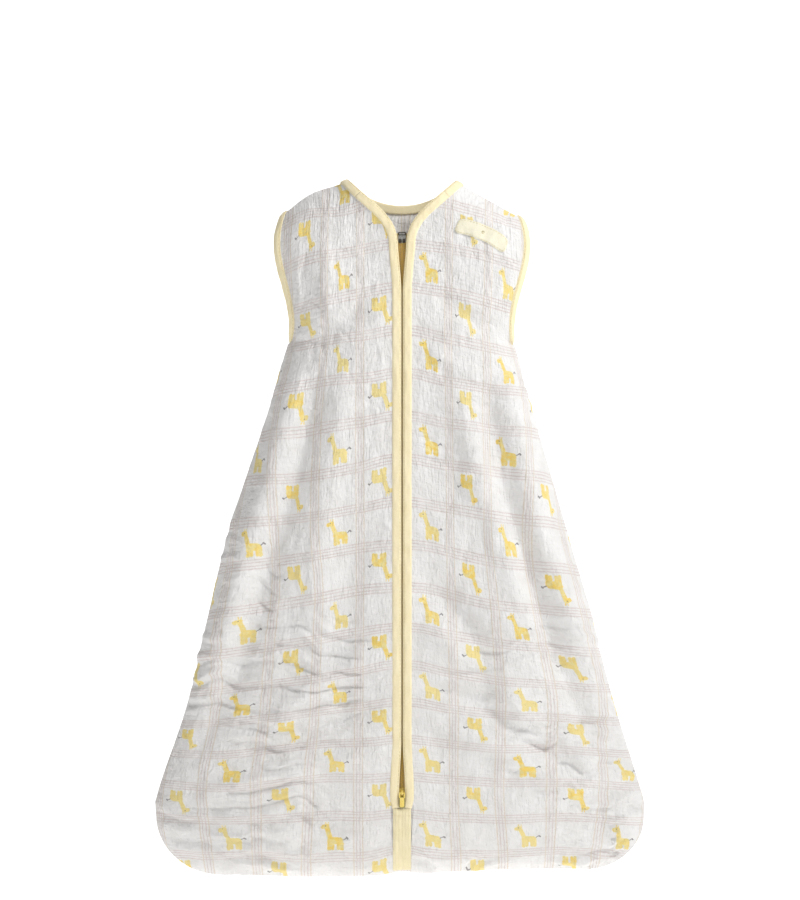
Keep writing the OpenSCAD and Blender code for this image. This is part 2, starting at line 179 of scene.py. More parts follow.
def value_noise(x, y, seed):
    """Smooth noise from -1 to 1, with features about one unit across."""
    ix, iy = np.floor(x), np.floor(y)
    fx, fy = smooth(x - ix, 0, 1), smooth(y - iy, 0, 1)
    low = lattice(ix, iy, seed) * (1 - fx) + lattice(ix + 1, iy, seed) * fx
    high = lattice(ix, iy + 1, seed) * (1 - fx) + lattice(ix + 1, iy + 1, seed) * fx
    return 2 * (low * (1 - fy) + high * fy) - 1


def crease(x, h, start, end, width, height, bow=0.0):
    """A long soft ridge, or a valley if height is negative, from start to end across the cloth."""
    start, end = np.array(start, float), np.array(end, float)
    along = end - start
    size = np.hypot(*along)
    along /= size
    t = ((x - start[0]) * along[0] + (h - start[1]) * along[1]) / size
    side = (x - start[0]) * along[1] - (h - start[1]) * along[0]
    side = side - bow * np.sin(np.pi * np.clip(t, 0, 1))
    fade = smooth(t, -0.12, 0.2) * (1 - smooth(t, 0.72, 1.1))
    return height * fade * np.exp(-((side / width) ** 2))


# Long drape folds on the front: start, end, width, height and bow
FRONT_CREASES = (
    ((88, 455), (182, 150), 15, 4.6, 12),
    ((74, 440), (150, 190), 11, -3.2, 10),
    ((50, 430), (118, 225), 12, 2.4, 8),
    ((22, 265), (86, 160), 15, -3.6, -6),
    ((20, 222), (120, 128), 12, 2.6, -10),
    ((16, 176), (150, 95), 9, -2.2, -8),
    ((18, 140), (170, 62), 9, 2.0, -6),
    ((104, 300), (192, 88), 12, -2.8, 10),
    ((30, 520), (86, 486), 9, -1.6, 4),
    ((24, 470), (90, 440), 8, 1.5, 5),
    ((-90, 458), (-176, 170), 15, 4.2, -14),
    ((-78, 440), (-138, 230), 11, -3.0, -8),
    ((-52, 450), (-86, 250), 13, 2.2, -6),
    ((-40, 300), (-52, 120), 16, -2.4, 8),
    ((-24, 200), (-120, 130), 11, 2.2, 8),
    ((-18, 150), (-150, 96), 9, -2.0, 8),
    ((-20, 110), (-178, 70), 9, 2.0, 6),
    ((-110, 300), (-190, 96), 12, -2.6, -10),
    ((-30, 516), (-88, 470), 9, -1.7, -4),
    ((-70, 560), (-64, 500), 8, 1.4, 0),
)

BACK_CREASES = (
    ((92, 470), (170, 130), 16, 3.2, 12),
    ((60, 500), (96, 220), 14, -2.2, 6),
    ((20, 540), (40, 250), 16, 1.8, 4),
    ((-92, 470), (-168, 120), 16, 3.2, -12),
    ((-56, 500), (-110, 240), 14, -2.4, -8),
    ((-16, 520), (-30, 200), 15, 1.6, -4),
    ((-150, 150), (120, 90), 11, 1.8, 10),
    ((-120, 90), (160, 70), 9, -1.6, 6),
)


def drape(x, h, creases, seed):
    """How far the cloth stands out from the plain surface, from its folds, bunching and crinkle."""
    rise = sum(crease(x, h, *row) for row in creases)
    # Cloth gathered into low level waves, more of them toward the foot
    bend = 9 * value_noise(x / 46, h / 70, seed) + 4 * value_noise(x / 18, h / 30, seed + 1)
    patch = smooth(value_noise(x / 60, h / 42, seed + 2), -0.35, 0.5)
    waves = np.sin(2 * np.pi * (h + bend) / 17) + 0.6 * np.sin(2 * np.pi * (h + 1.6 * bend) / 9.3)
    rise = 2.2 * rise + waves * patch * (0.4 + 1.2 * (1 - smooth(h, 150, 330)))
    # Muslin crinkle: narrow puckers that run mostly up the cloth
    warp = 2.5 * value_noise(x / 14, h / 14, seed + 3)
    rise = rise + 0.66 * value_noise((x + warp) / 4.6, h / 15, seed + 4)
    rise = rise + 0.5 * value_noise((x - warp) / 11, h / 4.6, seed + 5)
    return rise + 2.3 * value_noise(x / 34, h / 60, seed + 6)


# ---------------------------------------------------------------- mesh helpers


def add_mesh(name, points, faces, material):
    mesh = bpy.data.meshes.new(name)
    mesh.from_pydata([tuple(p) for p in np.asarray(points).reshape(-1, 3)], [], faces)
    mesh.materials.append(material)
    mesh.polygons.foreach_set("use_smooth", [True] * len(mesh.polygons))
    mesh.update()
    piece = bpy.data.objects.new(name, mesh)
    bpy.context.scene.collection.objects.link(piece)
    return piece


def grid_faces(rows, cols, wrap=False, first=0):
    last = cols if wrap else cols - 1
    return [
        (
            first + r * cols + c,
            first + r * cols + (c + 1) % cols,
            first + (r + 1) * cols + (c + 1) % cols,
            first + (r + 1) * cols + c,
        )
        for r in range(rows - 1)
        for c in range(last)
    ]


def set_uv(piece, uv):
    """uv holds metres of cloth across and up, one row for each vertex."""
    layer = piece.data.uv_layers.new(name="cloth")
    corners = np.empty(len(piece.data.loops), dtype=np.int64)
    piece.data.loops.foreach_get("vertex_index", corners)
    layer.data.foreach_set("uv", np.asarray(uv, float).reshape(-1, 2)[corners].ravel())


def unit(v):
    return v / np.maximum(np.linalg.norm(v, axis=-1, keepdims=True), 1e-9)


def grid_normals(grid):
    return unit(np.cross(np.gradient(grid, axis=1), np.gradient(grid, axis=0)))


def path_steps(path):
    """Distance along a path to each of its points."""
    return np.concatenate([[0], np.cumsum(np.linalg.norm(np.diff(path, axis=0), axis=1))])


def path_frames(path, normals):
    """Directions along, across and out from a path."""
    along = unit(np.gradient(path, axis=0))
    across = unit(np.cross(along, normals))
    return along, across, np.cross(across, along)


def sweep(name, path, normals, profile, material, closed=False, ripple=0.0, seed=0):
    """A strip with a closed cross-section. profile is rows of (across, out); it may change along."""
    path, normals = np.asarray(path, float), unit(np.asarray(normals, float))
    if closed:
        around = np.concatenate([path[-1:], path, path[:1]])
        along = unit(around[2:] - around[:-2])
        across = unit(np.cross(along, normals))
        out = np.cross(across, along)
    else:
        _, across, out = path_frames(path, normals)
    steps = path_steps(path)
    shape = np.asarray(profile, float)
    if shape.ndim == 2:
        shape = np.repeat(shape[None], len(path), axis=0)
    lift = ripple * value_noise(steps[:, None] / 5.0, shape[..., 0] / 3.0 + 40, seed)
    lift = lift * (shape[..., 1] > 0)
    points = (
        path[:, None]
        + shape[..., :1] * across[:, None]
        + (shape[..., 1] + lift)[..., None] * out[:, None]
    )
    count, sides = points.shape[:2]
    faces = grid_faces(count, sides, wrap=True)
    if closed:
        faces += [
            ((count - 1) * sides + k, (count - 1) * sides + (k + 1) % sides, (k + 1) % sides, k)
            for k in range(sides)
        ]
    else:
        faces += [tuple(range(sides - 1, -1, -1)), tuple((count - 1) * sides + k for k in range(sides))]
    piece = add_mesh(name, to_frame(points), faces, material)
    rim = path_steps(shape[0])
    uv = np.stack(np.broadcast_arrays(rim[None, :], steps[:, None]), axis=-1) * MM
    set_uv(piece, uv)
    return piece


def band_profile(width, out, back, groove):
    """Cross-section of a folded binding, with a row of stitching sunk into it at groove."""
    half = width / 2
    across = np.linspace(-1, 1, 25)
    top = out - 0.75 * np.abs(across) ** 6 - 0.4 * across**2
    top = top - 0.42 * np.exp(-(((across * half - groove) / 0.45) ** 2))
    bottom = -back + 0.75 * np.abs(across) ** 6
    front = np.stack([across * half, top], axis=1)
    behind = np.stack([across * half, bottom], axis=1)[::-1]
    return np.concatenate([front, behind])


def stitches(name, path, normals, material, length=2.3, gap=1.1, radius=0.2):
    """A row of short raised threads along a path."""
    path = np.asarray(path, float)
    steps = path_steps(path)
    starts = np.arange(gap, steps[-1] - length, length + gap)
    sides = 5
    turn = 2 * np.pi * np.arange(sides) / sides
    points, faces = [], []
    normals = unit(np.asarray(normals, float))
    for s in starts:
        marks = s + length * np.array([0, 0.2, 0.8, 1])
        centre = np.stack([np.interp(marks, steps, path[:, k]) for k in range(3)], axis=1)
        up = unit(np.array([np.interp(s, steps, normals[:, k]) for k in range(3)]))
        along = unit(centre[-1] - centre[0])
        across = unit(np.cross(along, up))
        base = len(points) * sides * 4
        sink = np.array([-radius * 1.4, 0, 0, -radius * 1.4])
        ring = radius * (np.cos(turn)[:, None] * across + np.sin(turn)[:, None] * up)
        points.append(centre[:, None] + sink[:, None, None] * up + ring[None])
        faces += grid_faces(4, sides, wrap=True, first=base)
    return add_mesh(name, to_frame(np.concatenate(points)), faces, material)


def slab(name, outline, low, high, material, place, bevel=0.0):
    """A flat shape with rounded edges. outline is rows of (across, up) and place maps it to the bag."""
    n = len(outline)
    points = [place(p[0], depth, p[1]) for depth in (low, high) for p in outline]
    faces = [tuple(range(n)), tuple(range(2 * n - 1, n - 1, -1))]
    faces += [(k, n + k, n + (k + 1) % n, (k + 1) % n) for k in range(n)]
    piece = add_mesh(name, to_frame(points), faces, material)
    piece.data.polygons.foreach_set("use_smooth", [False] * len(piece.data.polygons))
    if bevel:
        edge = piece.modifiers.new("Rounded edges", "BEVEL")
        edge.width = bevel * MM
        edge.segments = 3
        edge.limit_method = "ANGLE"
    return piece


def joined(name, pieces):
    """Several pieces as one mesh, with their modifiers applied."""
    depsgraph = bpy.context.evaluated_depsgraph_get()
    for piece in pieces:
        mesh = bpy.data.meshes.new_from_object(piece.evaluated_get(depsgraph))
        piece.modifiers.clear()
        piece.data = mesh
    with bpy.context.temp_override(active_object=pieces[0], selected_editable_objects=pieces):
        bpy.ops.object.join()
    pieces[0].name = name
    return pieces[0]


# ---------------------------------------------------------------- materials


class Shader:
    """Short calls that add nodes to one material and join them up."""

    def __init__(self, name, roughness, sheen=0.0, metallic=0.0, specular=0.5):
        self.material = bpy.data.materials.new(name)
        self.material.use_nodes = True
        self.tree = self.material.node_tree
        self.tree.nodes.clear()
        self.surface = self.tree.nodes.new("ShaderNodeBsdfPrincipled")
        output = self.tree.nodes.new("ShaderNodeOutputMaterial")
        self.tree.links.new(self.surface.outputs[0], output.inputs[0])
        self.surface.inputs["Roughness"].default_value = roughness
        self.surface.inputs["Sheen Weight"].default_value = sheen
        self.surface.inputs["Metallic"].default_value = metallic
        self.surface.inputs["Specular IOR Level"].default_value = specular

    def put(self, socket, value):
        if isinstance(value, bpy.types.NodeSocket):
            self.tree.links.new(value, socket)
        else:
            socket.default_value = value

    def math(self, operation, *values):
        node = self.tree.nodes.new("ShaderNodeMath")
        node.operation = operation
        for socket, value in zip(node.inputs, values):
            self.put(socket, value)
        return node.outputs[0]

    def times(self, a, b):
        return self.math("MULTIPLY", a, b)

    def plus(self, a, b):
        return self.math("ADD", a, b)

    def minus(self, a, b):
        return self.math("SUBTRACT", a, b)

    def vector(self, operation, *values):
        node = self.tree.nodes.new("ShaderNodeVectorMath")
        node.operation = operation
        for socket, value in zip(node.inputs, values):
            self.put(socket, value)
        return node.outputs["Value" if operation in ("DOT_PRODUCT", "LENGTH") else "Vector"]

    def scaled(self, vector, amount):
        node = self.tree.nodes.new("ShaderNodeVectorMath")
        node.operation = "SCALE"
        self.put(node.inputs[0], vector)
        self.put(node.inputs["Scale"], amount)
        return node.outputs["Vector"]

    def split(self, vector):
        node = self.tree.nodes.new("ShaderNodeSeparateXYZ")
        self.put(node.inputs[0], vector)
        return node.outputs[0], node.outputs[1], node.outputs[2]

    def join(self, x, y, z=0.0):
        node = self.tree.nodes.new("ShaderNodeCombineXYZ")
        for socket, value in zip(node.inputs, (x, y, z)):
            self.put(socket, value)
        return node.outputs[0]

    def ramp(self, value, low, high, start=0.0, end=1.0):
        node = self.tree.nodes.new("ShaderNodeMapRange")
        node.interpolation_type = "SMOOTHSTEP"
        for name, amount in (("Value", value), ("From Min", low), ("From Max", high)):
            self.put(node.inputs[name], amount)
        node.inputs["To Min"].default_value = start
        node.inputs["To Max"].default_value = end
        return node.outputs[0]

    def mix(self, amount, first, second):
        node = self.tree.nodes.new("ShaderNodeMix")
        node.data_type = "RGBA"
        self.put(node.inputs[0], amount)
        self.put(node.inputs[6], first)
        self.put(node.inputs[7], second)
        return node.outputs[2]

    def noise(self, vector, scale, detail=2.0, distortion=0.0):
        node = self.tree.nodes.new("ShaderNodeTexNoise")
        self.put(node.inputs["Vector"], vector)
        node.inputs["Scale"].default_value = scale
        node.inputs["Detail"].default_value = detail
        node.inputs["Distortion"].default_value = distortion
        return node.outputs[0]

    def random(self, vector):
        node = self.tree.nodes.new("ShaderNodeTexWhiteNoise")
        node.noise_dimensions = "3D"
        self.put(node.inputs["Vector"], vector)
        return node.outputs[0]

    def cloth_mm(self):
        """Millimetres of cloth across and up."""
        node = self.tree.nodes.new("ShaderNodeUVMap")
        node.uv_map = "cloth"
        return self.scaled(node.outputs[0], 1000.0)

    def place_mm(self):
        node = self.tree.nodes.new("ShaderNodeTexCoord")
        return self.scaled(node.outputs["Object"], 1000.0)

    def bump(self, height, millimetres, strength=1.0):
        node = self.tree.nodes.new("ShaderNodeBump")
        node.inputs["Strength"].default_value = strength
        node.inputs["Distance"].default_value = millimetres * MM
        self.put(node.inputs["Height"], height)
        self.tree.links.new(node.outputs[0], self.surface.inputs["Normal"])

    def stroke(self, point, start, end, radius):
        """Distance in millimetres from a round-ended stroke."""
        start, end = Vector((*start, 0)), Vector((*end, 0))
        along = end - start
        from_start = self.vector("SUBTRACT", point, tuple(start))
        dot = self.vector("DOT_PRODUCT", from_start, tuple(along))
        t = self.times(dot, 1 / max(along.length_squared, 1e-6))
        t = self.math("MINIMUM", self.math("MAXIMUM", t, 0.0), 1.0)
        nearest = self.scaled(tuple(along), t)
        away = self.vector("LENGTH", self.vector("SUBTRACT", from_start, nearest))
        return self.minus(away, radius)

    def nearest_of(self, distances):
        out = distances[0]
        for distance in distances[1:]:
            out = self.math("MINIMUM", out, distance)
        return out


# Print: one plaid cell, and where the cells lie on the cloth
CELL = (43.0, 38.0)
CELL_CENTRE = (25.0, 467.7)

# A generic giraffe, as strokes: start, end and radius, in millimetres from the cell's centre
ANIMAL = (
    ((-0.9, -3.0), (4.9, -3.6), 3.2),
    ((-2.3, -4.5), (-2.4, -10.3), 1.5),
    ((0.2, -4.5), (0.2, -10.0), 1.3),
    ((4.3, -4.5), (4.4, -10.0), 1.3),
    ((6.7, -4.0), (6.8, -10.3), 1.5),
    ((-1.7, -1.5), (-4.7, 7.6), 1.8),
    ((-4.7, 8.4), (-7.4, 7.6), 1.9),
    ((-4.0, 9.8), (-3.7, 11.7), 0.45),
    ((-5.7, 9.9), (-5.7, 11.8), 0.45),
)
ANIMAL_TAIL = (((7.8, -2.2), (10.3, -0.6), 0.3), ((10.3, -0.6), (11.2, -1.4), 0.6))
ANIMAL_EYE = ((-5.9, 8.5), (-5.7, 8.5), 0.32)


def weave(s, p, thread=0.85):
    """Height of a plain weave, from -1 to 1."""
    x, y, _ = s.split(s.scaled(p, 2 * math.pi / thread))
    return s.times(s.math("SINE", x), s.math("SINE", y))


def make_muslin():
    s = Shader("Printed muslin", roughness=0.95, sheen=0.15, specular=0.15)
    plain = s.cloth_mm()
    wobble = s.minus(s.noise(plain, 0.35), 0.5)
    p = s.vector("ADD", plain, s.join(s.times(wobble, 1.6), s.times(wobble, -1.3)))
    x, y, _ = s.split(p)
    across = s.math("DIVIDE", s.minus(x, CELL_CENTRE[0] - CELL[0] / 2), CELL[0])
    up = s.math("DIVIDE", s.minus(y, CELL_CENTRE[1] - CELL[1] / 2), CELL[1])
    column, row = s.math("FLOOR", across), s.math("FLOOR", up)
    a = s.times(s.minus(s.math("FRACT", across), 0.5), CELL[0])
    b = s.times(s.minus(s.math("FRACT", up), 0.5), CELL[1])

    # Plaid: two pairs of thin lines along each side of a cell, and a white one between them
    def plaid_lines(value, half):
        g = s.minus(half, s.math("ABSOLUTE", value))
        near = s.math("ABSOLUTE", s.minus(g, 1.5))
        far = s.math("ABSOLUTE", s.minus(g, 4.0))
        fade = s.ramp(s.noise(plain, 0.06), 0.3, 0.7, 0.55, 1.0)
        dark = s.times(s.ramp(s.math("MINIMUM", near, far), 0.2, 0.65, 1.0, 0.0), fade)
        return dark, s.ramp(far, 0.3, 0.8, 1.0, 0.0), s.ramp(g, 5.0, 5.6, 1.0, 0.0)

    down_lines, down_far, down_band = plaid_lines(a, CELL[0] / 2)
    level_lines, _, level_band = plaid_lines(b, CELL[1] / 2)
    speckle = s.noise(plain, 1.3, detail=3.0)
    mottle = s.noise(plain, 0.05)
    colour = s.mix(s.ramp(mottle, 0.3, 0.7), (0.80, 0.785, 0.77, 1), (0.85, 0.84, 0.83, 1))
    band = s.math("MAXIMUM", down_band, level_band)
    colour = s.mix(s.times(band, 0.22), colour, (0.74, 0.69, 0.67, 1))
    lines = s.math("MAXIMUM", down_lines, level_lines)
    colour = s.mix(s.times(lines, 0.6), colour, (0.58, 0.46, 0.43, 1))
    colour = s.mix(s.times(down_far, 0.25), colour, (0.80, 0.72, 0.47, 1))

    # Animals in every second cell, upside down in every second column
    flip = s.math("FLOORED_MODULO", column, 2.0)
    sign = s.minus(1.0, s.times(flip, 2.0))
    point = s.scaled(s.join(s.times(a, sign), s.times(b, sign)), 1 / 1.1)
    shown = s.minus(1.0, s.math("FLOORED_MODULO", s.plus(column, row), 2.0))
    fuzz = s.times(s.minus(speckle, 0.5), 1.1)
    body = s.plus(s.nearest_of([s.stroke(point, *part) for part in ANIMAL]), fuzz)
    mask = s.times(s.ramp(body, -0.35, 0.3, 1.0, 0.0), shown)
    lot = s.random(s.join(column, row, 0.5))
    patchy = s.ramp(s.noise(plain, 0.22), 0.35, 0.65)
    yellow = s.mix(s.times(lot, patchy), (0.85, 0.71, 0.28, 1), (0.90, 0.63, 0.07, 1))
    colour = s.mix(s.times(mask, s.ramp(speckle, 0.3, 0.75, 1.0, 0.82)), colour, yellow)
    ink = s.nearest_of([s.stroke(point, *part) for part in ANIMAL_TAIL + (ANIMAL_EYE,)])
    ink = s.times(s.ramp(ink, -0.1, 0.25, 1.0, 0.0), shown)
    colour = s.mix(s.times(ink, 0.8), colour, (0.17, 0.16, 0.16, 1))

    # Open weave with painted shade in its low points between the threads, then soft puckers that run up and
    # across the cloth
    threads = weave(s, plain)
    colour = s.mix(s.ramp(threads, -1.0, 1.0, 0.10, 0.0), colour, (0.55, 0.53, 0.51, 1))
    s.put(s.surface.inputs["Base Color"], colour)
    px, py, _ = s.split(plain)
    long_way = s.noise(s.join(s.times(px, 0.42), s.times(py, 0.11)), 1.0, 3.0, 0.6)
    cross_way = s.noise(s.join(s.times(px, 0.13), s.times(py, 0.38)), 1.0, 3.0, 0.6)
    height = s.plus(s.times(long_way, 1.6), s.times(cross_way, 1.1))
    height = s.plus(height, s.times(threads, 0.035))
    height = s.plus(height, s.times(speckle, 0.12))
    s.bump(height, 1.2, 0.95)
    return s.material


def make_binding(name, light, dark, rib=0.0):
    s = Shader(name, roughness=0.85, sheen=0.2, specular=0.2)
    p = s.place_mm()
    speckle = s.noise(p, 1.1, detail=3.0)
    colour = s.mix(s.ramp(s.noise(p, 0.07), 0.3, 0.7), (*light, 1), (*dark, 1))
    threads = s.noise(p, 2.6, detail=1.0)
    colour = s.mix(s.ramp(speckle, 0.3, 0.7, 0.0, 0.16), colour, (*[0.72 * c for c in dark], 1))
    s.put(s.surface.inputs["Base Color"], colour)
    height = s.plus(s.times(threads, 0.5), s.noise(p, 0.45, detail=2.0))
    if rib:
        x, _, _ = s.split(p)
        ribs = s.math("SINE", s.times(x, 2 * math.pi / rib))
        height = s.plus(height, s.times(ribs, 0.35))
    s.bump(height, 0.45, 0.8)
    return s.material


def make_thread(name, colour):
    s = Shader(name, roughness=0.6, sheen=0.3, specular=0.3)
    p = s.place_mm()
    twist = s.noise(p, 3.5, detail=1.0)
    shade = s.mix(s.ramp(twist, 0.3, 0.7), (*colour, 1), (*[0.8 * c for c in colour], 1))
    s.put(s.surface.inputs["Base Color"], shade)
    s.bump(twist, 0.1, 0.7)
    return s.material


def make_coil(name, colour):
    s = Shader(name, roughness=0.38, specular=0.5)
    p = s.place_mm()
    shade = s.mix(s.noise(p, 0.9), (*colour, 1), (*[0.75 * c for c in colour], 1))
    s.put(s.surface.inputs["Base Color"], shade)
    s.put(s.surface.inputs["Roughness"], s.ramp(s.noise(p, 2.0), 0.3, 0.7, 0.3, 0.5))
    return s.material


def make_metal(name, light, dark, roughness):
    s = Shader(name, roughness=roughness, metallic=1.0)
    p = s.place_mm()
    x, y, z = s.split(p)
    brushed = s.noise(s.join(s.times(x, 0.5), y, s.times(z, 6.0)), 1.6, 3.0)
    worn = s.noise(p, 0.8, detail=3.0)
    s.put(s.surface.inputs["Base Color"], s.mix(s.ramp(worn, 0.35, 0.65), (*light, 1), (*dark, 1)))
    s.put(s.surface.inputs["Roughness"], s.ramp(brushed, 0.3, 0.7, roughness, roughness + 0.22))
    s.bump(brushed, 0.05, 0.5)
    return s.material


def make_enamel(name, light, dark):
    s = Shader(name, roughness=0.3, specular=0.6)
    p = s.place_mm()
    worn = s.noise(p, 0.9, detail=3.0)
    s.put(s.surface.inputs["Base Color"], s.mix(s.ramp(worn, 0.35, 0.7), (*light, 1), (*dark, 1)))
    s.put(s.surface.inputs["Roughness"], s.ramp(s.noise(p, 2.5), 0.3, 0.7, 0.22, 0.42))
    s.surface.inputs["Coat Weight"].default_value = 0.3
    s.bump(s.noise(p, 1.6, detail=2.0), 0.06, 0.4)
    return s.material


def make_paper(name, colour):
    s = Shader(name, roughness=0.9, specular=0.1)
    s.surface.inputs["Emission Color"].default_value = (1, 1, 1, 1)
    s.surface.inputs["Emission Strength"].default_value = 0.52
    s.put(
        s.surface.inputs["Base Color"],
        s.mix(s.noise(s.place_mm(), 0.004), (*colour, 1), (*[0.985 * c for c in colour], 1)),
    )
    return s.material


muslin = make_muslin()
yellow_binding = make_binding("Yellow binding", (0.93, 0.83, 0.56), (0.90, 0.79, 0.51))
yellow_tab = make_binding("Yellow tab", (0.88, 0.79, 0.53), (0.84, 0.75, 0.48), rib=2.9)
yellow_label = make_binding("Yellow label", (0.87, 0.83, 0.67), (0.84, 0.80, 0.63))
yellow_tape = make_binding("Zip tape", (0.95, 0.80, 0.42), (0.90, 0.74, 0.38), rib=1.2)
yellow_thread = make_thread("Yellow thread", (0.80, 0.68, 0.38))
white_thread = make_thread("White thread", (0.82, 0.81, 0.79))
olive_thread = make_thread("Olive thread", (0.56, 0.47, 0.16))
gold_coil = make_coil("Zip coil", (0.98, 0.70, 0.22))
steel = make_metal("Steel", (0.62, 0.62, 0.60), (0.40, 0.39, 0.36), 0.28)
# A darker copy of the steel: painted shade for the retainer box's rim and legs
shaded_steel = make_metal("Steel with painted shade", (0.14, 0.13, 0.11), (0.07, 0.065, 0.05), 0.4)
enamel = make_enamel("Yellow enamel", (0.90, 0.70, 0.16), (0.80, 0.58, 0.10))
# A darker copy of the yellow enamel: painted shade along the rim of the pull
shaded_enamel = make_enamel("Yellow enamel with painted shade", (0.30, 0.26, 0.06), (0.20, 0.17, 0.04))

# ---------------------------------------------------------------- cloth panels


# Share of the rows above the armpit that end at the straight front edge, not at the neckline
STRAIGHT_SHARE = 0.66


def foot_heights(count):
    """Heights close together at the hem, where the cloth turns under."""
    return 60.0 * (1 - np.cos(np.pi / 2 * np.linspace(0, 1, count)))


def body_heights(rows):
    return np.concatenate([foot_heights(22), np.linspace(61.5, YOKE_H, rows)])


def yoke_end(v):
    """Edge of a panel from the top of the side seam, v = 0, to the shoulder seam, v = 1."""
    h = YOKE_H + v * (shoulder_h(SHOULDER_TIP_X - 1.5) - YOKE_H)
    return armhole_x(np.clip(h, ARMPIT_H, TIP_H)) - 1.5 * np.clip((h - YOKE_H) / 20, 0, 1), h


def front_ends(rows):
    """Inner and outer end of each row of a front panel, as points across and up."""
    body = body_heights(rows)
    inner_x = np.where(body < ZIP_FOOT - 1, fold_x(body), edge_cover(body))
    inner = np.stack([inner_x, body], axis=1)
    outer = np.stack([half_width(body), body], axis=1)
    v = np.linspace(0, 1, rows // 3)[1:]
    low_h = YOKE_H + v / STRAIGHT_SHARE * (NECK_START - YOKE_H)
    low = np.stack([edge_cover(low_h), low_h], axis=1)
    collar = neckline(np.clip((v - STRAIGHT_SHARE) / (1 - STRAIGHT_SHARE), 0, 1)) + (0.6, -0.6)
    collar[-1] = (NECK_HALF + 0.5, shoulder_h(NECK_HALF + 0.5))
    inner_up = np.where((v < STRAIGHT_SHARE)[:, None], low, collar)
    outer_up = np.stack(yoke_end(v), axis=1)
    return np.concatenate([inner, inner_up]), np.concatenate([outer, outer_up])


def binding_centre(h):
    """Middle of the front binding: it stands further from the zip at the neck and by the slider."""
    half_gap = 0.6 + 3.4 * smooth(h, 518, 572) + 2.0 * smooth(h, 60, 72) * (1 - smooth(h, 76, 124))
    return half_gap + BINDING / 2


def edge_cover(h):
    return binding_centre(h) + 1.0


def edge_fade(grid, distance):
    """0 at the edges of a panel and 1 inside, so that panels meet along their seams."""
    rows = np.linalg.norm(np.diff(grid, axis=0, prepend=grid[:1]), axis=2).cumsum(axis=0)
    cols = np.linalg.norm(np.diff(grid, axis=1, prepend=grid[:, :1]), axis=2).cumsum(axis=1)
    fade = smooth(rows, 0, distance) * smooth(rows[-1:] - rows, 0, distance)
    return fade * smooth(cols, 0, distance) * smooth(cols[:, -1:] - cols, 0, distance)


def print_up(x, h):
    """How far up the print a point lies: rows fall away from the zip, and the skirt is gathered."""
    slope = 0.05 + 0.14 * smooth(h, 40, 200) + 0.09 * smooth(h, 400, 520)
    fall = slope * (np.hypot(x, 25.0) - 25.0)
    wave = 5.0 * value_noise(x / 75, h / 90, 71) * smooth(np.abs(x), 8, 40)
    return h - 0.14 * np.maximum(0, 240 - h) + fall + wave


def print_across(across, h):
    """How far across the print a point lies: cloth is taken up in the folds of the upper part."""
    taken_up = 0.24 * smooth(h, 140, 330) * np.maximum(0, np.abs(across) - 25)
    wave = 6.0 * value_noise(across / 90, h / 80, 73) * smooth(np.abs(across), 20, 60)
    return across + np.sign(across) * taken_up + wave


def cloth_panel(name, x, h, surface, creases, seed, across):
    """A panel of printed cloth over a surface, with its folds; its edges stay on the surface."""
    grid = np.stack([x, surface(x, h), h], axis=-1)
    out = grid_normals(grid)
    out = out * np.sign(np.median(out[..., 1]) * (1 if surface is back_y else -1))
    rise = drape(x, h, creases, seed)
    grid = grid + out * (rise * edge_fade(grid, 14.0))[..., None]
    piece = add_mesh(name, to_frame(grid), grid_faces(*x.shape), muslin)
    set_uv(piece, np.stack([print_across(across, h), print_up(x, h)], axis=-1) * MM)
    return piece


def cloth_across(x, h, surface):
    """Millimetres of cloth from the centre line to each point of a row."""
    flat = np.stack([x, surface(x, h)], axis=-1)
    steps = np.linalg.norm(np.diff(flat, axis=1), axis=2)
    first = np.abs(x[:, :1])
    return np.concatenate([first, first + np.cumsum(steps, axis=1)], axis=1)


def front_panel(name, side, seed):
    inner, outer = front_ends(270)
    u = np.sin(np.pi / 2 * np.linspace(0, 1, 120)) ** 0.92
    x = inner[:, :1] + (outer[:, :1] - inner[:, :1]) * u
    h = inner[:, 1:] + (outer[:, 1:] - inner[:, 1:]) * u
    across = side * cloth_across(x, h, front_y)
    return cloth_panel(name, side * x, h, front_y, FRONT_CREASES, seed, across)


def back_cloth(name, seed):
    body = body_heights(250)
    u = np.linspace(-1, 1, 221)
    spread = np.sign(u) * (0.5 * np.abs(u) + 0.5 * np.sin(np.pi / 2 * np.abs(u)))
    x = half_width(body)[:, None] * spread
    h = np.repeat(body[:, None], len(u), axis=1)
    v = np.linspace(0, 1, 90)[1:, None]
    edge_x, edge_h = yoke_end(v)
    neck_x = (1 - v) * 0.5 * edge_x + v * (NECK_HALF + 0.5)
    part = np.abs(spread)
    split = 0.5
    inner = np.clip(part / split, 0, 1)
    outer = np.clip((part - split) / (1 - split), 0, 1)
    up_x = np.where(part <= split, neck_x * inner, neck_x + (edge_x - neck_x) * outer)
    neck_h = YOKE_H + v * (shoulder_h(NECK_HALF + 0.5) - YOKE_H)
    centre_h = YOKE_H + v * (LENGTH - BACK_NECK_DROP - 1 - YOKE_H)
    up_h = np.where(
        part <= split,
        centre_h + (neck_h - centre_h) * inner**2,
        neck_h + (edge_h - neck_h) * outer,
    )
    x = np.concatenate([x, up_x * np.sign(spread)])
    h = np.concatenate([h, up_h])
    middle = len(u) // 2
    right = cloth_across(x[:, middle:], h[:, middle:], back_y)
    left = cloth_across(x[:, middle::-1], h[:, middle::-1], back_y)
    across = np.concatenate([-left[:, :0:-1], right], axis=1)
    return cloth_panel(name, x, h, back_y, BACK_CREASES, seed, across)


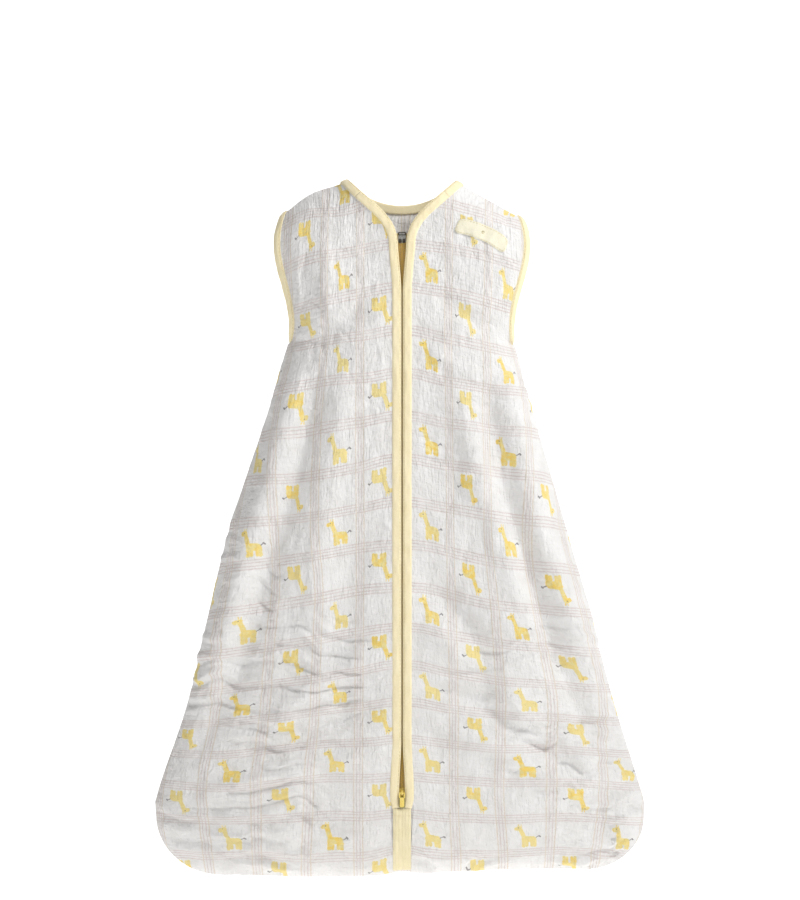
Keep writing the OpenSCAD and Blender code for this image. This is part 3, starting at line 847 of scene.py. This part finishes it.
def bend_open(piece, side):
    """Bakes the placement of a piece of the front into its mesh; the bend across the fold line is worked
    out but not applied.
    """
    foot, top = np.array(FOLD_FOOT), np.array(FOLD_TOP)
    along = (top - foot) / np.linalg.norm(top - foot)
    toward_zip = np.array((-along[1], along[0]))
    start = (foot + top) / 2
    end = start + BEND_WIDTH * toward_zip
    to_frame((side * start[0], 0, start[1]))
    to_frame((side * end[0], 0, end[1]))
    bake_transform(piece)


SIDES = (("left", 1.0), ("right", -1.0))
for word, side in SIDES:
    piece = front_panel(f"{word}_front_cloth", side, 11 if side > 0 else 29)
    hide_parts(f"{word}_front_panel", f"{word}_front_lapel")
    bend_open(piece, side)

back_piece = back_cloth("back_cloth", 53)
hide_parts("back_panel")
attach(back_piece, "body")

# Narrow strip of cloth that joins the two front panels under the tab
strip_h = np.repeat(np.concatenate([foot_heights(20), [62.0, 65.5]])[:, None], 9, axis=1)
strip_x = np.repeat(np.linspace(-11.5, 11.5, 9)[None], len(strip_h), axis=0)
under_tab = add_mesh(
    "cloth_under_tab",
    to_frame(np.stack([strip_x, front_y(strip_x, strip_h) + 0.5, strip_h], axis=-1)),
    grid_faces(*strip_h.shape),
    muslin,
)
set_uv(under_tab, np.stack([strip_x, print_up(strip_x, strip_h)], axis=-1) * MM)
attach(under_tab, "body")

# ---------------------------------------------------------------- bindings


def surface_normals(x, h, surface):
    dx = (surface(x + 1, h) - surface(x - 1, h)) / 2
    dh = (surface(x, h + 1) - surface(x, h - 1)) / 2
    normal = np.stack([dx, -np.ones_like(dx), dh], axis=-1)
    return unit(normal if surface is front_y else -normal)


def sewn_on(piece, *nodes):
    """A piece that stays with the body, in place of the CAD nodes it hides."""
    if nodes:
        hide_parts(*nodes)
    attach(piece, "body")


def on_surface(line, surface):
    line = np.asarray(line, float)
    points = np.stack([line[:, 0], surface(line[:, 0], line[:, 1]), line[:, 1]], axis=1)
    return points, surface_normals(line[:, 0], line[:, 1], surface)


# Distance of the stitching from the middle of each binding
GROOVE = 2.9
ARMHOLE_GROOVE = 2.5


def front_edge_line():
    h = np.arange(62.0, NECK_START, 2.0)
    straight = np.stack([binding_centre(h), h], axis=1)
    t = np.linspace(0, 0.8, 60)
    curve = neckline(t)
    shift = (binding_centre(np.array(NECK_START)) - EDGE_X) * (1 - smooth(t, 0, 0.6))
    curve = curve + np.stack([shift, 0 * shift], axis=1)
    return np.concatenate([straight, curve])


front_line = front_edge_line()
for word, side in SIDES:
    path, out = on_surface(front_line, front_y)
    flip = np.array((side, 1, 1))
    groove = -GROOVE * side
    profile = band_profile(BINDING, 1.35, 2.4, groove)
    binding = sweep(
        f"{word}_front_edge", path * flip, out * flip, profile, yellow_binding, ripple=0.35, seed=7
    )
    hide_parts(f"{word}_front_binding")
    bend_open(binding, side)
    _, across, up = path_frames(path * flip, out * flip)
    sewing = stitches(
        f"{word}_front_edge_stitches", path * flip + groove * across + 0.95 * up, up, yellow_thread
    )
    bend_open(sewing, side)

collar_t = 1 - 0.2 * np.linspace(1, 0, 24)[:-1] ** 2
collar_front, collar_out = on_surface(neckline(collar_t), front_y)
turn = np.linspace(0, np.pi, 90)
back_x = NECK_HALF * np.cos(turn)
back_line = np.stack([back_x, LENGTH - BACK_NECK_DROP * (1 - (back_x / NECK_HALF) ** 2)], axis=1)
collar_back, back_out = on_surface(back_line, back_y)
back_out[0] = back_out[-1] = (0, 0, 1)
mirror = np.array((-1, 1, 1))
collar_path = np.concatenate([collar_front, collar_back, (collar_front * mirror)[::-1]])
collar_normals = np.concatenate([collar_out, back_out, (collar_out * mirror)[::-1]])
for _ in range(6):
    collar_normals[1:-1] = (collar_normals[:-2] + 2 * collar_normals[1:-1] + collar_normals[2:]) / 4
collar_normals = unit(collar_normals)
collar = sweep(
    "neck_edge",
    collar_path,
    collar_normals,
    band_profile(BINDING, 1.35, 2.4, groove=-GROOVE),
    yellow_binding,
    ripple=0.3,
    seed=9,
)
sewn_on(collar, "neck_binding")
_, across, up = path_frames(collar_path, collar_normals)
collar_sewing = stitches(
    "neck_edge_stitches", collar_path - GROOVE * across + 0.95 * up, up, yellow_thread
)
sewn_on(collar_sewing)

arm_h = ARMPIT_H + (TIP_H - ARMPIT_H) * (1 - np.cos(np.linspace(0, np.pi, 70))) / 2
arm_line = np.stack([armhole_x(arm_h), arm_h], axis=1)
for word, side in SIDES:
    arm_front, arm_out = on_surface(arm_line, front_y)
    arm_back, arm_back_out = on_surface(arm_line, back_y)
    arm_out[0], arm_out[-1] = (1, 0, 0), (0.3, 0, 1)
    flip = np.array((side, 1, 1))
    path = np.concatenate([arm_front, arm_back[-2:0:-1]]) * flip
    normals = np.concatenate([arm_out, arm_back_out[-2:0:-1]]) * flip
    for _ in range(8):
        normals = unit(np.roll(normals, 1, axis=0) + 2 * normals + np.roll(normals, -1, axis=0))
    groove = -ARMHOLE_GROOVE * side
    armhole = sweep(
        f"{word}_armhole_edge",
        path,
        normals,
        band_profile(ARMHOLE_BINDING, 1.25, 2.2, groove=groove),
        yellow_binding,
        closed=True,
        ripple=0.35,
        seed=13,
    )
    sewn_on(armhole, f"{word}_armhole_binding")
    _, across, up = path_frames(path, normals)
    sewing = stitches(f"{word}_armhole_stitches", path + groove * across + 0.85 * up, up, yellow_thread)
    sewn_on(sewing)

# ---------------------------------------------------------------- tab and label

tab_h = np.linspace(TAB_FOOT, TAB_TOP, 60)
tab_path, tab_out = on_surface(np.stack([0 * tab_h, tab_h], axis=1), front_y)
across = np.linspace(-1, 1, 33)
tab_top = 1.5 - 0.9 * np.abs(across) ** 8 - 0.35 * np.exp(-((across * 8 / 0.5) ** 2))
tab_profile = np.concatenate(
    [
        np.stack([across * TAB_WIDTH / 2, tab_top], axis=1),
        np.stack([across * TAB_WIDTH / 2, 0 * across], axis=1)[::-1],
    ]
)
tab = sweep("tab", tab_path, tab_out, tab_profile, yellow_tab, ripple=0.3, seed=17)
sewn_on(tab, "bottom_tab")
rows = []
for h in (55.0, 60.3):
    row_x = np.linspace(-TAB_WIDTH / 2 + 0.8, TAB_WIDTH / 2 - 0.8, 30)
    row_path, row_out = on_surface(np.stack([row_x, 0 * row_x + h], axis=1), front_y)
    rows.append(stitches("tab_row", row_path + 1.5 * row_out, row_out, yellow_thread, 1.7, 0.7))
tab_sewing = joined("tab_stitches", rows)
sewn_on(tab_sewing)

LABEL_X = 70.0
LABEL_H = LENGTH - 50.5
LABEL_LENGTH = 48.0
LABEL_WIDTH = 14.0
LABEL_ANGLE = math.radians(-23)
LABEL_BOW = 3.6
LABEL_ROWS = 61
LABEL_COLS = 25


def label_points(a, b, rise):
    """Points of the label from a along it and b across it, standing rise above the cloth."""
    b = b + LABEL_BOW * (1 - (2 * a / LABEL_LENGTH) ** 2)
    x = LABEL_X + a * math.cos(LABEL_ANGLE) - b * math.sin(LABEL_ANGLE)
    h = LABEL_H + a * math.sin(LABEL_ANGLE) + b * math.cos(LABEL_ANGLE)
    base = np.stack([x, front_y(x, h), h], axis=-1)
    lift = drape(x, h, FRONT_CREASES, 11) + rise
    return base + surface_normals(x, h, front_y) * np.maximum(lift, 0.2)[..., None]


def label_cut(a):
    return corner_cut(4.6, LABEL_LENGTH / 2 - np.abs(a) + 0.15)


a = LABEL_LENGTH / 2 * -np.cos(np.linspace(0, np.pi, LABEL_ROWS))
b_share = np.linspace(-1, 1, LABEL_COLS)
b = (LABEL_WIDTH / 2 - label_cut(a))[:, None] * b_share
a = np.repeat(a[:, None], LABEL_COLS, axis=1)
edge = np.maximum(np.abs(b_share)[None] ** 10, (np.abs(a) / (LABEL_LENGTH / 2)) ** 24)
top = label_points(a, b, 1.3 * (1 - 0.6 * edge))
bottom = label_points(a, b, 0.0)
count = LABEL_ROWS * LABEL_COLS
rim = list(range(LABEL_COLS))
rim += [r * LABEL_COLS + LABEL_COLS - 1 for r in range(1, LABEL_ROWS)]
rim += [(LABEL_ROWS - 1) * LABEL_COLS + k for k in range(LABEL_COLS - 2, -1, -1)]
rim += [r * LABEL_COLS for r in range(LABEL_ROWS - 2, 0, -1)]
upper = grid_faces(LABEL_ROWS, LABEL_COLS)
faces = upper + [tuple(count + k for k in face[::-1]) for face in upper]
for here, following in zip(rim, rim[1:] + rim[:1]):
    faces.append((here, following, count + following, count + here))
label_shape = np.concatenate([top.reshape(-1, 3), bottom.reshape(-1, 3)])
label = add_mesh("label", to_frame(label_shape), faces, yellow_label)
sewn_on(label, "chest_label")

outline = np.linspace(0, 2 * np.pi, 200)
power = 0.22
oa = (LABEL_LENGTH / 2 - 1.3) * np.sign(np.cos(outline)) * np.abs(np.cos(outline)) ** power
ob = (LABEL_WIDTH / 2 - 1.3) * np.sign(np.sin(outline)) * np.abs(np.sin(outline)) ** power
border = label_points(oa, ob, 1.35)
border_out = surface_normals(border[:, 0], border[:, 2], front_y)
border_sewing = stitches("label_stitches", border, border_out, yellow_thread, 1.8, 0.9, 0.18)
ring = np.linspace(0, 2 * np.pi, 14)
motif = label_points(1.1 * np.cos(ring), 1.1 * np.sin(ring), 1.45)
motif_out = surface_normals(motif[:, 0], motif[:, 2], front_y)
dot = stitches("label_dot", motif, motif_out, olive_thread, 0.9, 0.12, 0.3)
sewn_on(border_sewing)
sewn_on(dot)

# ---------------------------------------------------------------- zip


def zip_place(x, depth, up):
    """A point of the zip: across, behind the outer face of the front, and up the zip from its foot."""
    y = -FOOT_DEPTH + depth * math.cos(ZIP_TILT) - up * math.sin(ZIP_TILT)
    z = ZIP_FOOT + depth * math.sin(ZIP_TILT) + up * math.cos(ZIP_TILT)
    return np.stack(np.broadcast_arrays(x, y, z), axis=-1)


CHAIN_FOOT = 1.0
TAPE_END = (ZIP_TOP - ZIP_FOOT) / math.cos(ZIP_TILT)
BOX_HEIGHT = 9.3
BOX_FOOT = TAPE_END - BOX_HEIGHT
COIL_PITCH = 1.5
COIL_DEPTH = 4.5
COIL_SIDES = 6

coil_turn = np.linspace(0, 2 * np.pi, COIL_SIDES + 1)[:-1]
coil_section = 0.36 * np.stack([np.cos(coil_turn), np.sin(coil_turn)], axis=1)

for word, side in SIDES:
    turns = (BOX_FOOT - CHAIN_FOOT) / COIL_PITCH
    phase = np.linspace(0, 2 * np.pi * turns, int(turns * 12))
    shift = 0.0 if side > 0 else COIL_PITCH / 2
    wire = zip_place(
        side * (1.2 + 1.75 * np.cos(phase)),
        COIL_DEPTH + 0.75 * np.sin(phase),
        CHAIN_FOOT + shift + COIL_PITCH * phase / (2 * np.pi),
    )
    axis = zip_place(0 * phase, COIL_DEPTH + 0 * phase, CHAIN_FOOT + COIL_PITCH * phase / (2 * np.pi))
    coil = sweep(f"{word}_zip_coil", wire, wire - axis + 1e-6, coil_section, gold_coil)
    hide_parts(f"{word}_zip_teeth")
    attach(coil, f"{word}_lapel")

    tape_up = np.linspace(-3.0, TAPE_END - 1.0, 240)
    tape_x = side * np.array([1.8, 3.0, 4.4, 6.0, 7.5, 9.0])
    tape_depth = np.array([5.3, 5.2, 4.7, 3.7, 3.0, 2.9])
    tape_grid = zip_place(tape_x[None], tape_depth[None], tape_up[:, None])
    tape_faces = grid_faces(len(tape_up), len(tape_x))
    tape = add_mesh(f"{word}_zip_fabric", to_frame(tape_grid), tape_faces, yellow_tape)
    solid = tape.modifiers.new("Thickness", "SOLIDIFY")
    solid.thickness = 0.5 * MM
    tape = joined(f"{word}_zip_fabric", [tape])
    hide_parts(f"{word}_zip_tape")
    bend_open(tape, side)


def rounded(width, low, high, corner, steps=6):
    """Outline of a rounded rectangle, as rows of (across, up)."""
    rows = []
    for cx, cy, first in (
        (width / 2 - corner, low + corner, -np.pi / 2),
        (width / 2 - corner, high - corner, 0),
        (corner - width / 2, high - corner, np.pi / 2),
        (corner - width / 2, low + corner, np.pi),
    ):
        angle = first + np.linspace(0, np.pi / 2, steps)
        rows.append(np.stack([cx + corner * np.cos(angle), cy + corner * np.sin(angle)], axis=1))
    return np.concatenate(rows)


def hardware(name, parts, body, slot, *nodes):
    piece = joined(name, parts)
    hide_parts(*nodes)
    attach(piece, body)


# Retainer box: a pressed steel shell with a rim at the top, a bright waist and two legs below; the rim and
# legs take a darker copy of the steel as painted shade
box_low, box_high = BOX_FOOT, BOX_FOOT + BOX_HEIGHT
box_parts = [
    slab("box_shell", rounded(6.9, box_low, box_high, 0.9), 2.6, 6.6, steel, zip_place, 0.35),
    slab("box_rim", rounded(7.3, box_high - 2.9, box_high, 0.8), 1.9, 3.4, shaded_steel, zip_place, 0.3),
    slab("box_lip", rounded(5.3, box_high - 1.9, box_high - 0.9, 0.45), 1.6, 2.4, steel, zip_place, 0.2),
]
for side in (-1, 1):
    leg = rounded(2.5, box_low - 0.3, box_low + 3.4, 0.6) + (side * 1.6, 0)
    box_parts.append(slab("box_leg", leg, 2.0, 3.2, shaded_steel, zip_place, 0.3))
hardware("retainer_box", box_parts, "left_lapel", "metal", "zip_box")

pin_parts = [
    slab("pin_bar", rounded(1.5, BOX_FOOT, BOX_FOOT + 8.3, 0.6) - (2.3, 0), 4.3, 5.7, steel, zip_place, 0.3)
]
hardware("box_pin", pin_parts, "right_lapel", "metal", "insertion_pin")

stop_parts = [
    slab("stop_bar", rounded(6.0, 0.2, 3.4, 0.5), 3.3, 6.0, steel, zip_place, 0.4),
    slab("stop_tail", rounded(4.4, -3.8, 0.6, 0.5), 2.6, 5.4, steel, zip_place, 0.3),
]
hardware("zip_stop", stop_parts, "body", "metal", "bottom_stop")


def slider_plate(low, high):
    """Outline of a slider plate, wide where the chain divides and narrow where it closes."""
    up = np.linspace(0, 1, 14)
    half = 3.7 - 1.1 * smooth(up, 0.35, 1.0)
    right = np.stack([half, low + (high - low) * up], axis=1)
    left = np.stack([-half[::-1], low + (high - low) * up[::-1]], axis=1)
    return np.concatenate([right, left])


SLIDER_FOOT = 4.5
SLIDER_HEAD = 13.5
BAR = (-2.2, 9.5)

slider_parts = [
    slab("front_plate", slider_plate(SLIDER_FOOT, SLIDER_HEAD), 3.1, 3.9, enamel, zip_place, 0.3),
    slab("back_plate", slider_plate(SLIDER_FOOT, SLIDER_HEAD), 6.1, 6.9, enamel, zip_place, 0.3),
    slab("post", rounded(1.8, SLIDER_FOOT + 1, SLIDER_FOOT + 5, 0.6), 3.5, 6.5, enamel, zip_place),
]
for side in (-1, 1):
    for low, high in ((3.1, 4.35), (5.65, 6.9)):
        flange = rounded(0.5, SLIDER_FOOT + 0.4, SLIDER_FOOT + 6.5, 0.15) + (side * 3.4, 0)
        slider_parts.append(slab("flange", flange, low, high, enamel, zip_place, 0.12))
arch = []
for angle in np.linspace(0, np.pi, 15):
    arch.append((BAR[1] - 2.6 * math.cos(angle), 3.1 - 6.6 * math.sin(angle) ** 0.7))
for angle in np.linspace(np.pi, 0, 15):
    arch.append((BAR[1] - 1.7 * math.cos(angle), 3.1 - 5.5 * math.sin(angle) ** 0.7))
n = len(arch)
arch_points = [zip_place(x, depth, up) for x in (-0.75, 0.75) for up, depth in arch]
arch_faces = [(k, n + k, n + (k + 1) % n, (k + 1) % n) for k in range(n)]
arch_faces += [(k, k + 1, n - 2 - k, n - 1 - k) for k in range(n // 2 - 1)]
arch_faces += [(n + n - 1 - k, n + n - 2 - k, n + k + 1, n + k) for k in range(n // 2 - 1)]
bridge = add_mesh("bridge", to_frame(arch_points), arch_faces, enamel)
bridge_edge = bridge.modifiers.new("Rounded edges", "BEVEL")
bridge_edge.width = 0.15 * MM
bridge_edge.segments = 2
slider_parts.append(bridge)
hardware("zip_slider", slider_parts, "slider", "slider", "slider_body")


def pull_place(x, depth, up):
    return zip_place(x, BAR[0] + depth, BAR[1] + up)


BAR_SIDES = 16
bar_turn = np.linspace(0, 2 * np.pi, BAR_SIDES + 1)[:-1]
bar_outline = 0.6 * np.stack([np.cos(bar_turn), np.sin(bar_turn)], axis=1)
bar_points = [pull_place(x, p[0], p[1]) for x in (-2.0, 2.0) for p in bar_outline]
bar_faces = [
    (k, BAR_SIDES + k, BAR_SIDES + (k + 1) % BAR_SIDES, (k + 1) % BAR_SIDES) for k in range(BAR_SIDES)
]
pull_bar = add_mesh("pull_bar", to_frame(bar_points), bar_faces, enamel)
pull_parts = [
    pull_bar,
    # The pull's rim takes the darker enamel, as painted shade along its edge
    slab("pull_rim", rounded(5.5, -13.3, -3.3, 1.7), -0.45, 0.6, shaded_enamel, pull_place, 0.3),
    slab("pull_face", rounded(3.9, -12.5, -3.9, 1.2), -0.75, 0.3, enamel, pull_place, 0.25),
    slab("pull_rib", rounded(1.3, -10.8, -6.0, 0.5), -0.95, 0.0, enamel, pull_place, 0.2),
]
for side in (-1, 1):
    arm = rounded(1.25, -4.4, 0.7, 0.5) + (side * 2.05, 0)
    pull_parts.append(slab("pull_arm", arm, -0.6, 0.6, enamel, pull_place, 0.25))
hardware("zip_pull", pull_parts, "pull", "slider", "slider_pull")

# ---------------------------------------------------------------- seams inside the bag


SEAM_WIDTH = 6.0
THREAD_SECTION = 0.2 * np.array([(1, 0), (0, 1), (-1, 0), (0, -1)])


def seam(name, line, node):
    """Sewn edges of two panels: a soft ruffled strip with zigzag thread over its edge."""
    line = np.asarray(line, float)
    along = unit(np.gradient(line, axis=0))
    inward = np.stack([-along[:, 1], along[:, 0]], axis=1)
    share = np.linspace(0, 1, 7)
    steps = path_steps(line)
    ruffle = 0.5 * value_noise(steps[:, None] / 7, share * 2, 3) * share
    grid = np.empty((len(line), 7, 3))
    grid[..., 0] = line[:, None, 0] + SEAM_WIDTH * share * inward[:, None, 0]
    grid[..., 1] = ruffle
    grid[..., 2] = line[:, None, 1] + SEAM_WIDTH * share * inward[:, None, 1]
    strip = add_mesh(f"{name}_strip", to_frame(grid), grid_faces(len(line), 7), muslin)
    set_uv(strip, np.stack(np.broadcast_arrays(SEAM_WIDTH * share, steps[:, None]), axis=-1) * MM)
    solid = strip.modifiers.new("Thickness", "SOLIDIFY")
    solid.thickness = 1.2 * MM
    solid.offset = 0
    zig = []
    for k, s in enumerate(np.arange(2, steps[-1] - 2, 1.5)):
        at = np.array([np.interp(s, steps, line[:, 0]), np.interp(s, steps, line[:, 1])])
        way = np.array([np.interp(s, steps, inward[:, 0]), np.interp(s, steps, inward[:, 1])])
        reach = SEAM_WIDTH if k % 2 else SEAM_WIDTH - 3
        zig.append((at[0] + reach * way[0], 0.95, at[1] + reach * way[1]))
    zig = np.array(zig)
    thread = []
    for face in (-1, 1):
        route = zig * (1, face, 1)
        normals = np.repeat([[0.0, face, 0.0]], len(zig), axis=0)
        thread.append(sweep("thread", route, normals, THREAD_SECTION, white_thread))
    piece = joined(name, [strip] + thread)
    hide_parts(node)
    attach(piece, "body")


hem_half = float(half_width(np.array(3.0))) - 4
hem_line = np.stack([np.linspace(-hem_half, hem_half, 160), np.full(160, 2.0)], axis=1)
seam("hem_inside_seam", hem_line, "hem_seam")
side_h = np.linspace(24.0, ARMPIT_H - 6.0, 220)
side_line = np.stack([half_width(side_h) - 1.5, side_h], axis=1)
shoulder_x = np.linspace(NECK_HALF + 5, SHOULDER_TIP_X - 5, 40)
shoulder_line = np.stack([shoulder_x, shoulder_h(shoulder_x) - 1.5], axis=1)
seam("left_side_inside_seam", side_line, "left_side_seam")
seam("right_side_inside_seam", (side_line * (-1, 1))[::-1], "right_side_seam")
seam("left_shoulder_inside_seam", shoulder_line[::-1], "left_shoulder_seam")
seam("right_shoulder_inside_seam", shoulder_line * (-1, 1), "right_shoulder_seam")

# ---------------------------------------------------------------- floor, lights and camera

FLOOR_Z = -LENGTH * MM - 0.02

backdrop_profile = [(-3.0, 0.0), (1.6, 0.0)]
for angle in np.linspace(0, np.pi / 2, 16)[1:]:
    backdrop_profile.append((1.6 + 1.0 * math.sin(angle), 1.0 - 1.0 * math.cos(angle)))
backdrop_profile.append((2.6, 3.6))
wall = np.array([[(x, y, z + FLOOR_Z) for y, z in backdrop_profile] for x in (-4.0, 4.0)])
paper = make_paper("White paper", (0.90, 0.90, 0.90))
floor = add_mesh("floor", wall, grid_faces(2, len(backdrop_profile)), paper)


def area_light(name, place, target, size, watts):
    lamp = bpy.data.lights.new(name, "AREA")
    lamp.shape = "RECTANGLE"
    lamp.size, lamp.size_y = size
    lamp.energy = watts
    holder = bpy.data.objects.new(name, lamp)
    bpy.context.scene.collection.objects.link(holder)
    holder.location = place
    holder.rotation_euler = (Vector(target) - Vector(place)).to_track_quat("-Z", "Y").to_euler()


area_light("key", (0.95, -0.75, 0.8), (0, 0, -0.12), (0.4, 0.4), 17.5)
area_light("fill", (-1.7, -1.9, 0.3), (0, 0, -0.3), (1.4, 1.4), 3)
area_light("floor", (0, 0.95, 1.6), (0, 1.0, -0.6), (3.4, 1.6), 9)
area_light("wall", (0, 0.9, 0.9), (0, 2.6, 0.2), (2.4, 1.2), 6)

world = bpy.data.worlds.new("Studio")
world.use_nodes = True
world.node_tree.nodes["Background"].inputs["Color"].default_value = (1.0, 0.995, 0.99, 1)
world.node_tree.nodes["Background"].inputs["Strength"].default_value = 0.31
bpy.context.scene.world = world
bpy.context.scene.view_settings.view_transform = "Standard"

# The photograph is 800 by 900 and shows about 797 mm of height, seen level and from the front
VIEW_HEIGHT = 0.7965
CAMERA_DISTANCE = 2.6
camera_data = bpy.data.cameras.new("camera")
camera_data.sensor_width = 36
camera_data.lens = 36 * CAMERA_DISTANCE / VIEW_HEIGHT
camera = bpy.data.objects.new("camera", camera_data)
camera.location = (-0.0018, -0.045 - CAMERA_DISTANCE, -0.2395)
camera.rotation_euler = (math.pi / 2, 0, 0)
bpy.context.scene.collection.objects.link(camera)
bpy.context.scene.camera = camera


def plain(box):
    return [[round(float(v), 6) for v in corner] for corner in box]
